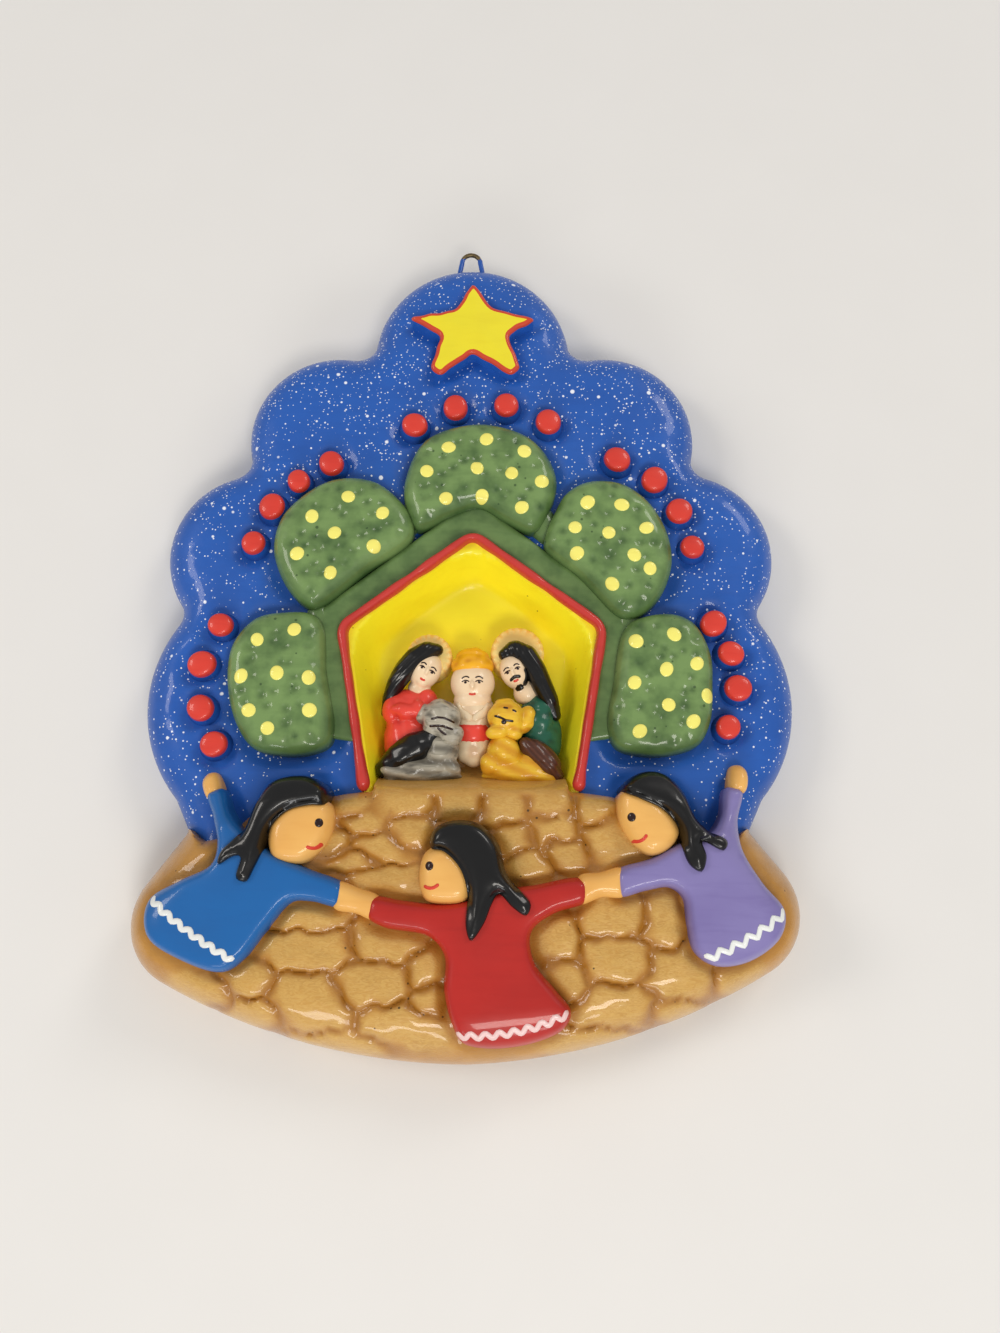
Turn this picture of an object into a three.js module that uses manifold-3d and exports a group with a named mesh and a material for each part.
// A painted clay relief that hangs on a wall: a scalloped blue night sky with a star, five cactus
// pads with fruit round a house-shaped niche, a cobbled ground with three girls holding hands, and
// five small figures standing in the niche. Millimetres, +Z out of the painted face, +Y to the
// wire loop it hangs by, origin at the middle of the flat back.

import * as THREE from 'three';
import Module from 'manifold-3d';

const wasm = await Module();
wasm.setup();

// Driving sizes, in millimetres.

const GAP = 0.3; // paint and glue line between neighbouring pieces

const SKY_THICKNESS = 9; // flat back to the blue face
const SKY_EDGE_WIDTH = 5.5; // how far the rounded front edge reaches in
const SKY_EDGE_WALL = 3.5; // upright part of the edge, from the back
const LOBE_FILLET = 2.6; // radius in the valley between two lobes
const TOP_LOBE = { x: 0, y: 43.1, radius: 14.7 };
const SHOULDER_LOBE = { x: 19.6, y: 29.8, radius: 13.2 };
const SIDE_LOBE = { x: 30.6, y: 11.6, radius: 12.8 };
const LOWER_LOBE = { x: 24.9, y: -9.9, radius: 20 };

const GROUND_THICKNESS = 12.2;
const GROUND_EDGE_WIDTH = 7.5;
const GROUND_EDGE_WALL = 2.5;
const GROUND_HALF_WIDTH = 44.8;
const GROUND_BOTTOM = -57.1;
const GROUND_BOTTOM_RADIUS = 87;
const GROUND_END_RADIUS = 8.8;
const GROUND_END_Y = -38.6;
const GROUND_MIDDLE_X = -0.6; // the ground lies a little to the left
const GROUND_TILT = 1; // degrees, lower at its left end
const JOINT_HALF_WIDTH = 39;
const JOINT_END_Y = -27;
const LEDGE_Y = -21.6; // where ground and sky meet on the middle line
const JOINT_EDGE_WIDTH = 3;
const JOINT_TUCK = 0.12; // radians of the lower lobe left out above the end of the joint
const GROUND_SHOULDER = 38; // degrees, where the round end of the ground turns into the joint
const LAP_LENGTH = 6; // tongue of the sky slab under the ground
const LAP_THICKNESS = 4;

const NICHE_X = 0.4;
const NICHE_APEX_Y = 12.1; // mouth of the niche, inside the red rim
const NICHE_SHOULDER_Y = -0.4;
const NICHE_SHOULDER_HALF = 16.8;
const NICHE_FOOT_HALF = 13.2;
const NICHE_TAPER = 2.2; // how much the walls close in by the back panel
const RIM_WIDTH = 1.6;
const RIM_HEIGHT = 1.7;
const SHELL_REVEAL = 0.5; // shell edge above the blue face, under the rim
const SHELL_BACK = 1.5;
const POCKET_FLOOR = 1.5;

const BAND_ROOF_WIDTH = 2.3;
const BAND_SIDE_WIDTH = 1.4;
const BAND_HEIGHT = 0.9;
const BAND_FOOT_Y = -15.5;

const PAD_HEIGHT = 2.7;
const PAD_EDGE = 2.4;
const PAD_SQUARENESS = 2.25; // 2 is an ellipse, more is squarer
const PADS = [
  { name: 'pad_top', x: 1.5, y: 20.5, half: [10.7, 9.1], turn: 0, fruit: [13.1, 90.5, 30] },
  { name: 'pad_upper_left', x: -17.8, y: 12.4, half: [9.9, 8.6], turn: 36, fruit: [11.8, 139.5, 29] },
  { name: 'pad_upper_right', x: 19.7, y: 11.6, half: [9.6, 8.7], turn: -36, fruit: [11.6, 42.3, 29] },
  { name: 'pad_left', x: -24.8, y: -7.9, half: [7.9, 9.8], turn: -2, fruit: [11.4, 180.7, 29] },
  { name: 'pad_right', x: 25.4, y: -8, half: [7.7, 9.7], turn: 2, fruit: [11, 8.5, 26.8] },
]; // fruit: distance from the pad's middle, middle angle and angle between fruits
const FRUITS_PER_PAD = 4;
const FRUIT_DIAMETER = 3.3;
const FRUIT_HEIGHT = 1.7;
const FRUIT_EDGE = 0.9;

const STAR_X = 0.2;
const STAR_Y = 44;
const STAR_OUTER = 8.9;
const STAR_INNER = 4.7;
const STAR_STRETCH = [1.05, 0.93];
const STAR_HEIGHT = 1.9;
const STAR_EDGE = 0.5;
const STAR_CORNER = 0.6; // how far back each corner is cut before it is rounded

const DRESS_HEIGHT = 2.2;
const DRESS_EDGE = 0.9;
const FACE_HEIGHT = 2.5;
const FACE_EDGE = 2;
const HAND_HEIGHT = 1.9;
const HAND_EDGE = 0.9;
const HAIR_RISE = 1.1; // hair above the face and dress it lies on
const HAIR_EDGE = 0.7;
const LEAST_WALL = 0.2; // upright foot of every applied piece, at least

const WIRE_DIAMETER = 0.65;
const LOOP_WIDTH = 3.2; // between the middles of the two legs
const LOOP_RISE = 3.3; // how far the loop stands out of the top lobe
const LOOP_EMBEDDED = 5; // leg length inside the slab
const LOOP_DEPTH = 5; // height of the wire above the flat back

const FINE = 4.5; // longest triangle edge on a surface that follows the relief

// The girls' outlines are drawn on a ground 89.6 wide and 35.5 deep, and follow its size.
const GIRLS_ACROSS = GROUND_HALF_WIDTH / 44.8;
const GIRLS_ALONG = (LEDGE_Y - GROUND_BOTTOM) / 35.5;

const GIRLS = [
  {
    name: 'blue_girl',
    colour: '#2673c4',
    dress: [
      [-32.9, -23.2], [-31.1, -22.6], [-29.9, -25.4], [-28.4, -27.6], [-24.9, -30.1], [-20.2, -32.3],
      [-15.5, -34.2], [-15.2, -35.2], [-15.9, -37], [-19.4, -36.4], [-21.9, -36.5], [-24.4, -39.2],
      [-27.5, -43.3], [-30, -44.9], [-35.3, -43.5], [-39.3, -40.6], [-39.6, -36.2], [-36, -33.8],
      [-32, -31.8], [-31.2, -29.2], [-32.2, -26],
    ],
    face: [
      [-25, -27], [-22.5, -24.2], [-19.5, -23.4], [-17.3, -24.4], [-17, -27.3], [-18.6, -30.3],
      [-20.9, -31.8], [-24.5, -31],
    ],
    hair: [
      [-25.6, -21.2], [-22.9, -20.5], [-19.9, -20.7], [-17.7, -22.4], [-17.7, -24.2], [-19.7, -24.2],
      [-22.8, -25.2], [-24.6, -27.3], [-25.5, -30.3], [-26.4, -32.4], [-27.3, -34], [-28.5, -33.6],
      [-28.1, -31], [-29, -30.9], [-30.9, -31.9], [-30.8, -30.4], [-28.6, -27.8], [-27.5, -24.3],
    ],
  },
  {
    name: 'red_girl',
    colour: '#c2251f',
    dress: [
      [-11.9, -35.9], [-8, -36.3], [-3.3, -36.7], [0.5, -36.2], [4.1, -35], [8.5, -34.4], [14.1, -33.5],
      [15.2, -34.2], [15, -36.4], [10.9, -37.9], [8.1, -40.1], [8.4, -43.7], [11, -47], [12.9, -49.5],
      [12.1, -51.6], [8.4, -53.4], [3, -54.1], [-0.4, -53.3], [-1.7, -51], [-2.7, -47], [-2.7, -43],
      [-4.6, -40.7], [-10.4, -39.5], [-12.4, -38.2],
    ],
    face: [
      [-5.8, -30.4], [-3.2, -29.6], [-0.6, -31.6], [0.6, -34.4], [-0.2, -36.4], [-3.2, -36.8],
      [-5.4, -36.2], [-6.4, -33.6],
    ],
    hair: [
      [-5.4, -28.6], [-4.4, -26.9], [-1.5, -26.2], [1.2, -26.9], [3.4, -29.7], [4.8, -33],
      [6.9, -35.3], [8, -36.8], [7.4, -38.1], [5.7, -37.1], [4, -35.5], [3.2, -36.7], [2.2, -39.1],
      [0.6, -41.1], [0, -39.6], [0.2, -35.2], [-0.7, -32.2], [-3, -30.1], [-4.8, -29.8],
    ],
  },
  {
    name: 'violet_girl',
    colour: '#7d66ae',
    dress: [
      [33.6, -22.3], [35.6, -22.6], [35, -26.5], [35.1, -30], [37.3, -34.1], [40, -37.6],
      [39.3, -40.8], [35.4, -43.7], [30.8, -44.2], [28.3, -42.5], [27.6, -39.3], [27.1, -35.8],
      [25.5, -34.7], [22.5, -35.1], [19.2, -35.8], [18.6, -34.4], [18.9, -32.6], [23.3, -31.1],
      [27, -29.2], [31, -27.9], [32.7, -25.7],
    ],
    face: [
      [19.6, -22.8], [22.5, -22.7], [25.9, -25.4], [26.9, -28], [25.3, -30.2], [23, -30.8],
      [20.4, -28.6], [19.2, -25.7],
    ],
    hair: [
      [19.6, -22.4], [20.3, -20.7], [22.9, -19.7], [25.4, -20.2], [27.6, -22.5], [29, -26],
      [30.7, -27.8], [32.7, -29.1], [32.1, -30.2], [29.5, -29.1], [29.9, -31], [29.2, -32.8],
      [27.8, -32], [27, -30], [26.8, -27.6], [24.9, -25], [22.2, -23.6],
    ],
  },
];

const HANDS = [
  {
    name: 'blue_girl_raised_hand',
    outline: [[-34.4, -21.4], [-33.5, -20], [-32, -20.5], [-31.4, -23], [-33.5, -23.8]],
  },
  {
    name: 'violet_girl_raised_hand',
    outline: [[34, -20.4], [35.2, -19], [36.4, -19.9], [36.2, -22.8], [33.7, -22.6]],
  },
  {
    name: 'clasped_hands_left',
    outline: [[-15.9, -34], [-13.4, -34.8], [-11.4, -35.7], [-11.5, -38.6], [-13.8, -37.9], [-16.2, -37.2]],
  },
  {
    name: 'clasped_hands_right',
    outline: [[14.6, -33.3], [16.8, -32.8], [19.2, -32.3], [19.3, -35.6], [17, -35.9], [14.7, -36.5]],
  },
];

// Colours of the paint.

const COLOUR = {
  sky: '#2a5bc4',
  ground: '#d9a44a',
  shell: '#f2dc12',
  rim: '#cf3a32',
  band: '#4d7340',
  pad: '#5a7f45',
  fruit: '#e0402f',
  star: '#f3e52f',
  skin: '#f2b96b',
  hair: '#121212',
  mother: '#ee4a3b',
  father: '#1e5b45',
  infant: '#e9d2b4',
  donkey: '#a39c8c',
  ox: '#ebc02e',
  wire: '#7a6a4c',
};

// Outlines are lists of Vector2, anticlockwise.

const point = ([x, y]) => new THREE.Vector2(x, y);

// Points on a circle from one angle to another.
function arc(centre, radius, from, to, steps) {
  const list = [];
  for (let i = 0; i <= steps; i += 1) {
    const angle = from + ((to - from) * i) / steps;
    list.push(new THREE.Vector2(centre.x + radius * Math.cos(angle), centre.y + radius * Math.sin(angle)));
  }
  return list;
}

// A smooth closed line through a few points.
function smooth(points, steps) {
  const curve = new THREE.CatmullRomCurve3(points.map(([x, y]) => new THREE.Vector3(x, y, 0)), true);
  const list = curve.getPoints(points.length * steps).slice(0, -1).map((p) => new THREE.Vector2(p.x, p.y));
  return THREE.ShapeUtils.isClockWise(list) ? list.reverse() : list;
}

function superellipse({ x, y, half, turn }, count, squareness) {
  const list = [];
  const tilt = THREE.MathUtils.degToRad(turn);
  for (let i = 0; i < count; i += 1) {
    const angle = (2 * Math.PI * i) / count;
    const cos = Math.cos(angle);
    const sin = Math.sin(angle);
    const reach = (Math.abs(cos) ** squareness + Math.abs(sin) ** squareness) ** (-1 / squareness);
    const p = new THREE.Vector2(half[0] * reach * cos, half[1] * reach * sin);
    list.push(p.rotateAround(new THREE.Vector2(), tilt).add(new THREE.Vector2(x, y)));
  }
  return list;
}

const circle = (diameter, sides) => arc({ x: 0, y: 0 }, diameter / 2, 0, 2 * Math.PI, sides).slice(0, -1);

// The outline moved inwards along its own normals, or outwards for a negative distance. Each point
// stops short of the largest circle that touches the outline there, so narrow parts don't cross.
const TOUCHING_SHARE = 0.8; // of that circle's radius

function inset(outline, distance) {
  const count = outline.length;
  return outline.map((p, i) => {
    const before = outline[(i + count - 1) % count];
    const after = outline[(i + 1) % count];
    const tangent = after.clone().sub(before).normalize();
    const inwards = new THREE.Vector2(-tangent.y, tangent.x).multiplyScalar(Math.sign(distance) || 1);
    const radius = outline.reduce((least, q) => {
      const reach = q.clone().sub(p);
      const ahead = reach.dot(inwards);
      return ahead > 1e-6 ? Math.min(least, reach.lengthSq() / (2 * ahead)) : least;
    }, Infinity);
    return p.clone().addScaledVector(inwards, Math.min(Math.abs(distance), TOUCHING_SHARE * radius));
  });
}

function shrunk(outline, share) {
  const middle = new THREE.Vector2();
  outline.forEach((p) => middle.addScaledVector(p, 1 / outline.length));
  return outline.map((p) => middle.clone().lerp(p, share));
}

function distanceToLine(p, line) {
  let least = Infinity;
  for (let i = 0; i + 1 < line.length; i += 1) {
    const a = line[i];
    const side = line[i + 1].clone().sub(a);
    const along = THREE.MathUtils.clamp(p.clone().sub(a).dot(side) / side.lengthSq(), 0, 1);
    least = Math.min(least, p.distanceTo(a.clone().addScaledVector(side, along)));
  }
  return least;
}

function isInside(p, outline) {
  let inside = false;
  for (let i = 0, j = outline.length - 1; i < outline.length; j = i, i += 1) {
    const a = outline[i];
    const b = outline[j];
    const crosses = a.y > p.y !== b.y > p.y;
    if (crosses && p.x < ((b.x - a.x) * (p.y - a.y)) / (b.y - a.y) + a.x) inside = !inside;
  }
  return inside;
}

// Height of a rounded edge at a distance in from its outline.
function edgeHeight(distance, width, wall, top) {
  if (distance >= width) return top;
  const away = 1 - Math.max(distance, 0) / width;
  return wall + (top - wall) * Math.sqrt(1 - away * away);
}

// The scalloped outline of the sky, with a tongue that laps under the ground.

function tangentCircle(a, b, radius) {
  const from = new THREE.Vector2(a.x, a.y);
  const to = new THREE.Vector2(b.x, b.y);
  const span = from.distanceTo(to);
  const ra = a.radius + radius;
  const rb = b.radius + radius;
  const along = (ra * ra - rb * rb + span * span) / (2 * span);
  const across = Math.sqrt(ra * ra - along * along);
  const unit = to.clone().sub(from).normalize();
  return from.clone().addScaledVector(unit, along).add(new THREE.Vector2(unit.y * across, -unit.x * across));
}

const angleTo = (from, to) => Math.atan2(to.y - from.y, to.x - from.x);

function skyRightSide() {
  const lobes = [LOWER_LOBE, SIDE_LOBE, SHOULDER_LOBE, TOP_LOBE];
  const list = [];
  let start = JOINT_TUCK - Math.asin((LOWER_LOBE.y - JOINT_END_Y) / LOWER_LOBE.radius);
  lobes.forEach((lobe, i) => {
    const next = lobes[i + 1];
    if (!next) {
      list.push(...arc(lobe, lobe.radius, start, Math.PI / 2, 7));
      return;
    }
    const valley = tangentCircle(lobe, next, LOBE_FILLET);
    const end = angleTo(lobe, valley);
    list.push(...arc(lobe, lobe.radius, start, end, 7));
    start = angleTo(next, valley);
    const leave = angleTo(valley, lobe);
    let arrive = angleTo(valley, next);
    if (arrive > leave) arrive -= 2 * Math.PI;
    list.push(...arc(valley, LOBE_FILLET, leave, arrive, 3).slice(1, -1));
  });
  return list;
}

const tongueHalf = JOINT_HALF_WIDTH - LAP_LENGTH - GAP;
const tongue = [
  new THREE.Vector2(-tongueHalf, JOINT_END_Y - LAP_LENGTH),
  new THREE.Vector2(tongueHalf, JOINT_END_Y - LAP_LENGTH),
];
const skyRight = skyRightSide();
const skyLeft = skyRight.slice(0, -1).reverse().map((p) => new THREE.Vector2(-p.x, p.y));
const skyOutline = [...tongue, ...skyRight, ...skyLeft];
const skyEdge = [...skyRight, ...skyLeft];

// The ground: a shallow arc against the sky, round ends and a long curved bottom.

function groundJoint(steps) {
  const sag = LEDGE_Y - JOINT_END_Y;
  const radius = (JOINT_HALF_WIDTH ** 2 + sag ** 2) / (2 * sag);
  const half = Math.asin(JOINT_HALF_WIDTH / radius);
  return arc({ x: 0, y: LEDGE_Y - radius }, radius, Math.PI / 2 - half, Math.PI / 2 + half, steps);
}

function groundHalfEdge() {
  const end = new THREE.Vector2(GROUND_HALF_WIDTH - GROUND_END_RADIUS, GROUND_END_Y);
  const middle = new THREE.Vector2(0, GROUND_BOTTOM + GROUND_BOTTOM_RADIUS);
  const meet = angleTo(middle, end);
  const steps = 9;
  const bottom = arc(middle, GROUND_BOTTOM_RADIUS, -Math.PI / 2, meet, steps);
  const offset = middle.distanceTo(end) + GROUND_END_RADIUS - GROUND_BOTTOM_RADIUS;
  const outwards = end.clone().sub(middle).normalize();
  bottom.forEach((p, i) => p.addScaledVector(outwards, (offset * i) / steps));
  const shoulder = THREE.MathUtils.degToRad(GROUND_SHOULDER);
  return [...bottom.slice(0, -1), ...arc(end, GROUND_END_RADIUS, meet, shoulder, 7)];
}

// The outer edge, from the left end round the bottom to the right, tilted and moved to one side.
function groundOuterEdge() {
  const right = groundHalfEdge();
  const left = right.slice(1).reverse().map((p) => new THREE.Vector2(-p.x, p.y));
  const middle = new THREE.Vector2(0, GROUND_END_Y);
  const sideways = new THREE.Vector2(GROUND_MIDDLE_X, 0);
  const tilt = THREE.MathUtils.degToRad(GROUND_TILT);
  return [...left, ...right].map((p) => p.rotateAround(middle, tilt).add(sideways));
}

const outerEdge = groundOuterEdge();
const jointLine = groundJoint(14);
const groundEdge = [jointLine.at(-1), ...outerEdge, jointLine[0]];
const groundOutline = [...outerEdge, ...jointLine];

function groundHeight(p) {
  const toEdge = distanceToLine(p, groundEdge);
  const toJoint = distanceToLine(p, jointLine);
  return Math.min(
    edgeHeight(toEdge, GROUND_EDGE_WIDTH, GROUND_EDGE_WALL, GROUND_THICKNESS),
    edgeHeight(toJoint, JOINT_EDGE_WIDTH, SKY_THICKNESS, GROUND_THICKNESS),
  );
}

function skyHeight(p) {
  return edgeHeight(distanceToLine(p, skyEdge), SKY_EDGE_WIDTH, SKY_EDGE_WALL, SKY_THICKNESS);
}

// Height of the painted face under any point of the relief.
function faceHeight(p) {
  return isInside(p, groundOutline) ? groundHeight(p) : skyHeight(p);
}

// The niche: house-shaped outlines, each the mouth of the niche moved outwards.

function house(roofOffset, sideOffset, footY) {
  const slope = Math.atan2(NICHE_APEX_Y - NICHE_SHOULDER_Y, NICHE_SHOULDER_HALF);
  const apex = NICHE_APEX_Y + roofOffset / Math.cos(slope);
  const height = NICHE_SHOULDER_Y - LEDGE_Y;
  const lean = (NICHE_SHOULDER_HALF - NICHE_FOOT_HALF) / height;
  const wall = NICHE_FOOT_HALF + sideOffset * Math.hypot(1, lean);
  const shoulder = (apex - LEDGE_Y + wall / lean) / (1 / lean + Math.tan(slope));
  const shoulderY = apex - shoulder * Math.tan(slope);
  const foot = wall + lean * (footY - LEDGE_Y);
  return [
    new THREE.Vector2(NICHE_X - foot, footY),
    new THREE.Vector2(NICHE_X + foot, footY),
    new THREE.Vector2(NICHE_X + shoulder, shoulderY),
    new THREE.Vector2(NICHE_X, apex),
    new THREE.Vector2(NICHE_X - shoulder, shoulderY),
  ];
}

// Solids: plain lists of corners and triangles, closed, with their faces pointing out.

function stacked(rings) {
  const count = rings[0].outline.length;
  const corners = rings.flatMap(({ outline, z }) => outline.map((p) => new THREE.Vector3(p.x, p.y, z)));
  const triangles = [];
  for (let level = 0; level + 1 < rings.length; level += 1) {
    for (let i = 0; i < count; i += 1) {
      const a = level * count + i;
      const b = level * count + ((i + 1) % count);
      triangles.push([a, b, b + count], [a, b + count, a + count]);
    }
  }
  const topStart = (rings.length - 1) * count;
  THREE.ShapeUtils.triangulateShape(rings[0].outline, []).forEach(([a, b, c]) => triangles.push([a, c, b]));
  THREE.ShapeUtils.triangulateShape(rings.at(-1).outline, []).forEach(([a, b, c]) => {
    triangles.push([a + topStart, b + topStart, c + topStart]);
  });
  return { corners, triangles };
}

// Halves every edge longer than a limit, the same way in both triangles that share it.
function refined({ corners, triangles }, limit) {
  const points = [...corners];
  let faces = triangles;
  for (let round = 0; round < 4; round += 1) {
    const middles = new Map();
    const middleOf = (a, b) => {
      if (points[a].distanceTo(points[b]) <= limit) return -1;
      const key = a < b ? `${a} ${b}` : `${b} ${a}`;
      if (!middles.has(key)) {
        middles.set(key, points.length);
        points.push(points[a].clone().lerp(points[b], 0.5));
      }
      return middles.get(key);
    };
    faces = faces.flatMap((face) => splitFace(face, middleOf));
  }
  return { corners: points, triangles: faces };
}

function splitFace([a, b, c], middleOf) {
  const ab = middleOf(a, b);
  const bc = middleOf(b, c);
  const ca = middleOf(c, a);
  const cut = [ab, bc, ca].filter((m) => m >= 0).length;
  if (cut === 0) return [[a, b, c]];
  if (cut === 3) return [[a, ab, ca], [ab, b, bc], [ca, bc, c], [ab, bc, ca]];
  if (ab >= 0 && bc < 0 && ca < 0) return [[a, ab, c], [ab, b, c]];
  if (ab >= 0 && bc >= 0) return [[ab, b, bc], [a, ab, bc], [a, bc, c]];
  return splitFace([b, c, a], middleOf);
}

function solid({ corners, triangles }) {
  const vertProperties = new Float32Array(corners.flatMap((p) => [p.x, p.y, p.z]));
  const triVerts = new Uint32Array(triangles.flat());
  return new wasm.Manifold(new wasm.Mesh({ numProp: 3, vertProperties, triVerts }));
}

const prism = (outline, from, to) => solid(stacked([{ outline, z: from }, { outline, z: to }]));

// Quarter-round rings from the full outline at a wall height in to the top.
function roundedRings(outline, wall, top, width, steps, move) {
  const rings = [];
  for (let i = 0; i <= steps; i += 1) {
    const angle = (Math.PI / 2) * (i / steps);
    const moved = move(outline, width * (1 - Math.cos(angle)));
    rings.push({ outline: moved, z: wall + (top - wall) * Math.sin(angle) });
  }
  return rings;
}

// A piece that lies on the painted face and follows its height, a glue line above it.
function relief(outline, { height, edge, steps = 2, lift = GAP, move = inset }) {
  const wall = Math.max(lift + LEAST_WALL, height - edge);
  const rings = [{ outline, z: lift }, ...roundedRings(outline, wall, height, edge, steps, move)];
  const piece = refined(stacked(rings), FINE);
  piece.corners.forEach((p) => {
    p.z += faceHeight(new THREE.Vector2(p.x, p.y));
  });
  return solid(piece);
}

// The room that a piece and the glue line round it take up.
function room(outline, { height, edge, move }) {
  return relief(inset(outline, -GAP), { height: height + GAP, edge, lift: -1, move });
}

// Rings of a domed piece shrink towards its middle, as far as the given distance from its edge.
function towardsMiddle(outline) {
  const middle = shrunk(outline, 0)[0];
  const reach = outline.reduce((sum, p) => sum + p.distanceTo(middle), 0) / outline.length;
  return (line, distance) => shrunk(line, 1 - distance / reach);
}

const slabTop = TOP_LOBE.y + TOP_LOBE.radius;
const loopTop = slabTop + LOOP_RISE;

// Sky slab: rounded edge, a pocket for the stable, sockets for the wire and a step for the ground.

function skySlab() {
  const rings = [
    { outline: skyOutline, z: 0 },
    ...roundedRings(skyOutline, SKY_EDGE_WALL, SKY_THICKNESS, SKY_EDGE_WIDTH, 5, inset),
  ];
  const tall = GROUND_THICKNESS + SKY_THICKNESS;
  const groundRoom = prism(inset(groundOutline, -GAP), LAP_THICKNESS, tall);
  const pocket = prism(house(RIM_WIDTH + GAP, RIM_WIDTH + GAP, LEDGE_Y - 1), POCKET_FLOOR, tall);
  const sockets = loopLegs(WIRE_DIAMETER + 2 * GAP, LOOP_EMBEDDED + GAP);
  return solid(stacked(rings)).subtract(groundRoom).subtract(pocket).subtract(sockets);
}

function groundBlock() {
  const wall = { outline: groundOutline, z: 0 };
  const rings = roundedRings(groundOutline, 0, 1, GROUND_EDGE_WIDTH, 5, inset);
  const block = stacked([wall, ...rings.map(({ outline }) => ({ outline, z: 1 }))]);
  block.corners.forEach((p) => {
    if (p.z > 0) p.z = groundHeight(new THREE.Vector2(p.x, p.y));
  });
  const tongueRoom = prism(inset(skyOutline, -GAP), -1, LAP_THICKNESS);
  return solid(block).subtract(tongueRoom);
}

// Stable: a shallow tray without a foot wall, the red roll on its edge and the green band round it.

const shellTop = SKY_THICKNESS + SHELL_REVEAL;
const nicheFloor = POCKET_FLOOR + SHELL_BACK;
const footY = LEDGE_Y + GAP;

function stableShell() {
  const tray = prism(house(RIM_WIDTH, RIM_WIDTH, footY), POCKET_FLOOR, shellTop);
  const mouth = house(0, 0, LEDGE_Y - 1);
  const back = house(-NICHE_TAPER, -NICHE_TAPER, LEDGE_Y - 1);
  const hollow = stacked([{ outline: back, z: nicheFloor }, { outline: mouth, z: shellTop + GAP }]);
  return tray.subtract(solid(hollow));
}

// A half-round roll along the open line foot, shoulder, apex, shoulder, foot.
function stableRim() {
  const outer = house(RIM_WIDTH, RIM_WIDTH, footY);
  const inner = house(0, 0, footY);
  const order = [1, 2, 3, 4, 0];
  const corners = [];
  const steps = 6;
  order.forEach((index) => {
    for (let i = 0; i <= steps; i += 1) {
      const angle = (Math.PI * i) / steps;
      const across = 0.5 - 0.5 * Math.cos(angle);
      const p = outer[index].clone().lerp(inner[index], across);
      corners.push(new THREE.Vector3(p.x, p.y, shellTop + RIM_HEIGHT * Math.sin(angle)));
    }
  });
  return solid(sweep(corners, order.length, steps + 1));
}

// Joins equal sections into one closed tube; the sections' corners come in order.
function sweep(corners, sections, sides) {
  const triangles = [];
  for (let s = 0; s + 1 < sections; s += 1) {
    for (let i = 0; i < sides; i += 1) {
      const a = s * sides + i;
      const b = s * sides + ((i + 1) % sides);
      triangles.push([a, b + sides, b], [a, a + sides, b + sides]);
    }
  }
  const last = (sections - 1) * sides;
  for (let i = 1; i + 1 < sides; i += 1) {
    triangles.push([0, i, i + 1], [last, last + i + 1, last + i]);
  }
  return { corners, triangles };
}

function leafBand() {
  const outer = house(RIM_WIDTH + GAP + BAND_ROOF_WIDTH, RIM_WIDTH + GAP + BAND_SIDE_WIDTH, BAND_FOOT_Y);
  const inner = house(RIM_WIDTH + GAP, RIM_WIDTH + GAP, BAND_FOOT_Y - 1);
  const band = prism(outer, SKY_THICKNESS, SKY_THICKNESS + BAND_HEIGHT);
  return band.subtract(prism(inner, SKY_THICKNESS - 1, SKY_THICKNESS + BAND_HEIGHT + 1));
}

// Cactus pads, trimmed against the band, and the fruits along their outer edges.

function bandClearance() {
  const roof = RIM_WIDTH + 2 * GAP + BAND_ROOF_WIDTH;
  const side = RIM_WIDTH + 2 * GAP + BAND_SIDE_WIDTH;
  return prism(house(roof, side, LEDGE_Y - 1), 0, SKY_THICKNESS + PAD_HEIGHT + 1);
}

// Each pad gives way to the band and to the pads before it in the list.
function cactusPad(pad, index) {
  const shape = { height: PAD_HEIGHT, edge: PAD_EDGE };
  const outlineOf = (one) => superellipse(one, 28, PAD_SQUARENESS);
  return PADS.slice(0, index).reduce(
    (piece, other) => piece.subtract(room(outlineOf(other), shape)),
    relief(outlineOf(pad), shape).subtract(bandClearance()),
  );
}

function fruitOutlines(pad) {
  const [distance, middle, between] = pad.fruit;
  const list = [];
  for (let i = 0; i < FRUITS_PER_PAD; i += 1) {
    const angle = THREE.MathUtils.degToRad(middle + between * ((FRUITS_PER_PAD - 1) / 2 - i));
    const centre = { x: pad.x + distance * Math.cos(angle), y: pad.y + distance * Math.sin(angle) };
    list.push(arc(centre, FRUIT_DIAMETER / 2, 0, 2 * Math.PI, 12).slice(0, -1));
  }
  return list;
}

function starPiece() {
  const list = [];
  for (let i = 0; i < 10; i += 1) {
    const angle = Math.PI / 2 + (i * Math.PI) / 5;
    const radius = i % 2 === 0 ? STAR_OUTER : STAR_INNER;
    const x = STAR_X + radius * STAR_STRETCH[0] * Math.cos(angle);
    const y = STAR_Y + radius * STAR_STRETCH[1] * Math.sin(angle);
    list.push([x, y]);
  }
  const outline = roundCorners(list, STAR_CORNER, 2);
  return relief(outline, { height: STAR_HEIGHT, edge: STAR_EDGE, steps: 1, move: towardsMiddle(outline) });
}

// Cuts each corner of a polygon back and rounds it with a curve.
function roundCorners(corners, cut, steps) {
  const points = corners.map(point);
  return points.flatMap((corner, i) => {
    const before = points.at(i - 1).clone().sub(corner).setLength(cut).add(corner);
    const after = points[(i + 1) % points.length].clone().sub(corner).setLength(cut).add(corner);
    return new THREE.QuadraticBezierCurve(before, corner, after).getPoints(steps);
  });
}

// Girls: the dress lies on the ground, the face against the dress, the hair over both.

const onGround = ([x, y]) => [x * GIRLS_ACROSS, LEDGE_Y + (y + 21.6) * GIRLS_ALONG];
const drawn = (points, steps) => smooth(points.map(onGround), steps);

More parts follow.
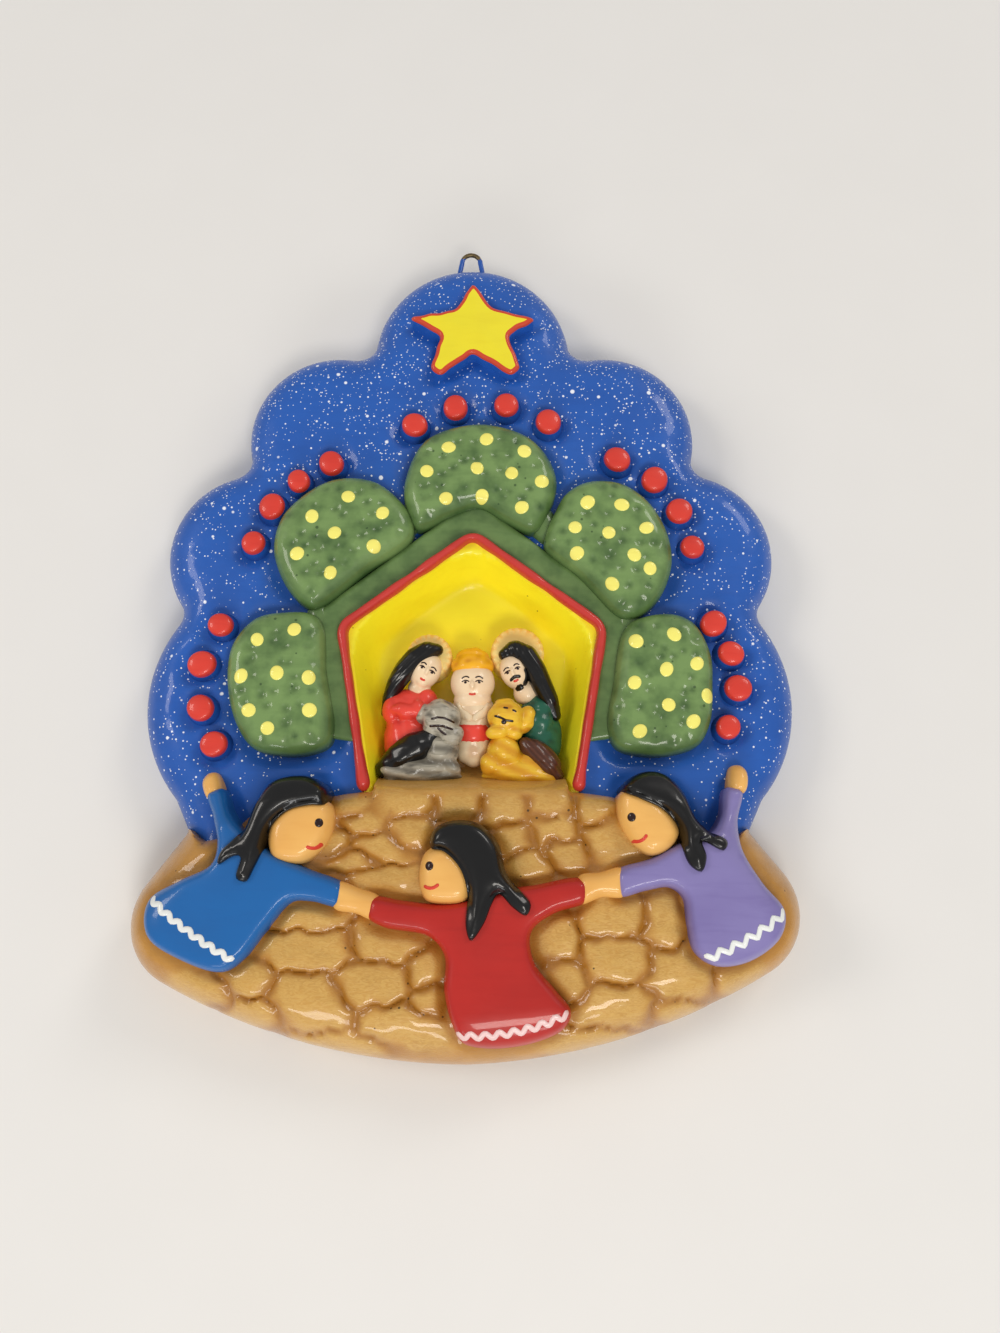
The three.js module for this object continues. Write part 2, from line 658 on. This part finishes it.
const dressOutlines = new Map(GIRLS.map((girl) => [girl.name, drawn(girl.dress, 2)]));

// The clay under the girls with most of the glue line: keeps a piece clear of the steep edges.
const clayRoom = groundBlock().translate([0, GAP, GAP / 2]).add(skySlab().translate([0, 0, GAP / 2]));

function girlPieces(girl) {
  const dressShape = { height: DRESS_HEIGHT, edge: DRESS_EDGE };
  const dress = dressOutlines.get(girl.name);
  const face = drawn(girl.face, 3);
  const faceShape = { height: FACE_HEIGHT, edge: FACE_EDGE, move: towardsMiddle(face) };
  const dressRoom = room(dress, dressShape);
  const hairHeight = Math.max(DRESS_HEIGHT, FACE_HEIGHT) + GAP + HAIR_RISE;
  const hair = relief(drawn(girl.hair, 2), { height: hairHeight, edge: HAIR_EDGE });
  return {
    dress: relief(dress, dressShape).subtract(clayRoom),
    face: relief(face, faceShape).subtract(dressRoom).subtract(clayRoom),
    hair: hair.subtract(dressRoom).subtract(room(face, faceShape)).subtract(clayRoom),
  };
}

function hand(points) {
  const outline = drawn(points, 3);
  const shape = { height: HAND_HEIGHT, edge: HAND_EDGE, move: towardsMiddle(outline) };
  return [...dressOutlines.values()].reduce(
    (piece, dress) => piece.subtract(room(dress, { height: DRESS_HEIGHT, edge: DRESS_EDGE })),
    relief(outline, shape).subtract(clayRoom),
  );
}

// Wire loop: a hairpin whose legs sit in two sockets in the top of the slab.

const legEnd = slabTop - LOOP_EMBEDDED;
const bendY = loopTop - WIRE_DIAMETER / 2 - LOOP_WIDTH / 2;

function loopLegs(diameter, length) {
  const legs = [-1, 1].map((side) => {
    const section = circle(diameter, 10);
    const hole = stacked([{ outline: section, z: 0 }, { outline: section, z: length + SKY_THICKNESS }]);
    hole.corners.forEach((p) => {
      p.set((side * LOOP_WIDTH) / 2 + p.x, slabTop - length + p.z, LOOP_DEPTH - p.y);
    });
    return solid(hole);
  });
  return legs[0].add(legs[1]);
}

function hangingLoop() {
  const half = LOOP_WIDTH / 2;
  const bend = arc({ x: 0, y: bendY }, half, 0, Math.PI, 10);
  const line = [new THREE.Vector2(half, legEnd), ...bend, new THREE.Vector2(-half, legEnd)];
  const corners = [];
  const sides = 8;
  const round = circle(WIRE_DIAMETER, sides);
  line.forEach((p, i) => {
    const before = line[Math.max(i - 1, 0)];
    const after = line[Math.min(i + 1, line.length - 1)];
    const along = after.clone().sub(before).normalize();
    round.forEach((s) => {
      corners.push(new THREE.Vector3(p.x + along.y * s.x, p.y - along.x * s.x, LOOP_DEPTH + s.y));
    });
  });
  return solid(sweep(corners, line.length, sides));
}

// Figures in the niche: eggs joined into one body each, drawn for a clear width and scaled to the
// one there is. The back row lies flat on the back panel, the animals stand before it on the ledge.

const FIGURE_WIDTH = 24.8;
const FIGURE_SPREAD = 1.4; // the row reaches this far past the back panel, as the walls flare
const figureScale = (2 * (NICHE_FOOT_HALF - NICHE_TAPER + FIGURE_SPREAD)) / FIGURE_WIDTH;

const EGG_LEVELS = [0.45, 0.8, 1]; // rings of an egg, as shares of its height
const EGG_ROUNDNESS = 2.4;
const EGG_OPENING = 0.07; // the last ring stays a little open

// An egg: x and y of its middle from the middle of the ledge, half width, half height, the heights
// above the back panel where it starts and ends, and its turn in degrees.
function egg([x, y, halfWidth, halfHeight, from, to, turn = 0], grow) {
  const half = [halfWidth + grow, halfHeight + grow];
  const outline = superellipse({ x, y, half, turn }, 12, PAD_SQUARENESS);
  const low = Math.max(from - grow, 0);
  const rings = [{ outline, z: low }];
  EGG_LEVELS.forEach((share) => {
    const reach = Math.sqrt(1 - (1 - EGG_OPENING) * share ** EGG_ROUNDNESS);
    rings.push({ outline: shrunk(outline, reach), z: low + (to + grow - low) * share });
  });
  const shape = stacked(rings);
  shape.corners.forEach((p) => {
    p.set(NICHE_X + p.x * figureScale, footY + p.y * figureScale, nicheFloor + p.z * figureScale);
  });
  return solid(shape);
}

// The inside of the niche less a glue line on its walls, carried on upwards past its mouth.
function nicheRoom() {
  const back = house(-NICHE_TAPER - GAP, -NICHE_TAPER - GAP, footY);
  const mouth = house(-GAP, -GAP, footY);
  const tall = GROUND_THICKNESS + SKY_THICKNESS;
  const walls = [{ outline: back, z: nicheFloor }, { outline: mouth, z: shellTop }];
  return solid(stacked([...walls, { outline: mouth, z: tall }]));
}

function figure(eggs, neighbours = []) {
  const whole = eggs.map((shape) => egg(shape, 0)).reduce((sum, next) => sum.add(next));
  const clearance = GAP / figureScale;
  const cut = neighbours.flat().reduce((piece, shape) => piece.subtract(egg(shape, clearance)), whole);
  return cut.intersect(nicheRoom());
}

const MOTHER = [
  [-8.1, 6.6, 3.5, 6.8, 0, 5], [-7, 11.2, 2.4, 2.6, 0, 5.6], [-6.1, 16, 2.3, 2.5, 0, 6.2],
  [-5.7, 17.4, 3.1, 3.1, 0, 2.2], [-9.4, 14.2, 2.1, 4.6, 0, 4.6, -32],
];
const INFANT = [[0.1, 8.4, 2.6, 6.2, 0, 5.4], [0.1, 14.6, 3, 3.6, 0, 6.2]];
const FATHER = [
  [8.9, 6.6, 2.9, 7.2, 0, 4.8], [7.2, 12, 2.2, 3, 0, 5.4], [6, 15.4, 2.1, 2.6, 0, 6.2],
  [6.1, 17.5, 3.4, 3.4, 0, 2.2], [9.2, 13.6, 2.2, 5, 0, 4.8, 32],
];
const DONKEY = [
  [-6.3, 2.4, 5.5, 3.2, 2.7, 8.2], [-4.9, 5.2, 2.8, 3, 2.7, 8.4], [-3.5, 8, 2.7, 2.9, 2.7, 8.8],
];
const OX = [
  [7.1, 2.4, 5.2, 3.2, 2.7, 8.2], [6, 5.2, 2.8, 3, 2.7, 8.4], [5, 8, 2.4, 2.9, 2.7, 8.8],
];

// Assembly.

const wholeBox = new THREE.Box2().setFromPoints([...outerEdge, ...skyEdge]);
const middleX = (wholeBox.min.x + wholeBox.max.x) / 2;
const middleY = (wholeBox.min.y + loopTop) / 2;
const ornament = new THREE.Group();
ornament.name = 'nativity_ornament';
ornament.position.set(-middleX, -middleY, 0);

const PAINT_ROUGHNESS = 0.4;
const paint = (colour) => new THREE.MeshStandardMaterial({ color: colour, roughness: PAINT_ROUGHNESS });

function addPiece(name, body, material) {
  const { vertProperties, triVerts } = body.getMesh();
  const geometry = new THREE.BufferGeometry();
  geometry.setAttribute('position', new THREE.BufferAttribute(vertProperties, 3));
  geometry.setIndex(new THREE.BufferAttribute(triVerts, 1));
  geometry.computeVertexNormals();
  const mesh = new THREE.Mesh(geometry, material);
  mesh.name = name;
  ornament.add(mesh);
}

addPiece('sky_slab', skySlab(), paint(COLOUR.sky));
addPiece('ground_block', groundBlock(), paint(COLOUR.ground));
addPiece('stable_shell', stableShell(), paint(COLOUR.shell));
addPiece('stable_rim', stableRim(), paint(COLOUR.rim));
addPiece('leaf_band', leafBand(), paint(COLOUR.band));

PADS.forEach((pad, index) => {
  addPiece(pad.name, cactusPad(pad, index), paint(COLOUR.pad));
  fruitOutlines(pad).forEach((outline, i) => {
    const shape = { height: FRUIT_HEIGHT, edge: FRUIT_EDGE, move: towardsMiddle(outline) };
    addPiece(`${pad.name.replace('pad', 'fruit')}_${i + 1}`, relief(outline, shape), paint(COLOUR.fruit));
  });
});

addPiece('star', starPiece(), paint(COLOUR.star));

GIRLS.forEach((girl) => {
  const { dress, face, hair } = girlPieces(girl);
  addPiece(`${girl.name}_dress`, dress, paint(girl.colour));
  addPiece(`${girl.name}_face`, face, paint(COLOUR.skin));
  addPiece(`${girl.name}_hair`, hair, paint(COLOUR.hair));
});

HANDS.forEach(({ name, outline }) => addPiece(name, hand(outline), paint(COLOUR.skin)));

addPiece('mother_figure', figure(MOTHER, [INFANT, DONKEY]), paint(COLOUR.mother));
addPiece('infant_figure', figure(INFANT, [DONKEY, OX]), paint(COLOUR.infant));
addPiece('father_figure', figure(FATHER, [INFANT, OX]), paint(COLOUR.father));
addPiece('donkey_figure', figure(DONKEY), paint(COLOUR.donkey));
addPiece('ox_figure', figure(OX, [DONKEY]), paint(COLOUR.ox));

const wire = new THREE.MeshStandardMaterial({ color: COLOUR.wire, roughness: 0.45, metalness: 0.9 });
addPiece('hanging_loop', hangingLoop(), wire);

export default ornament;
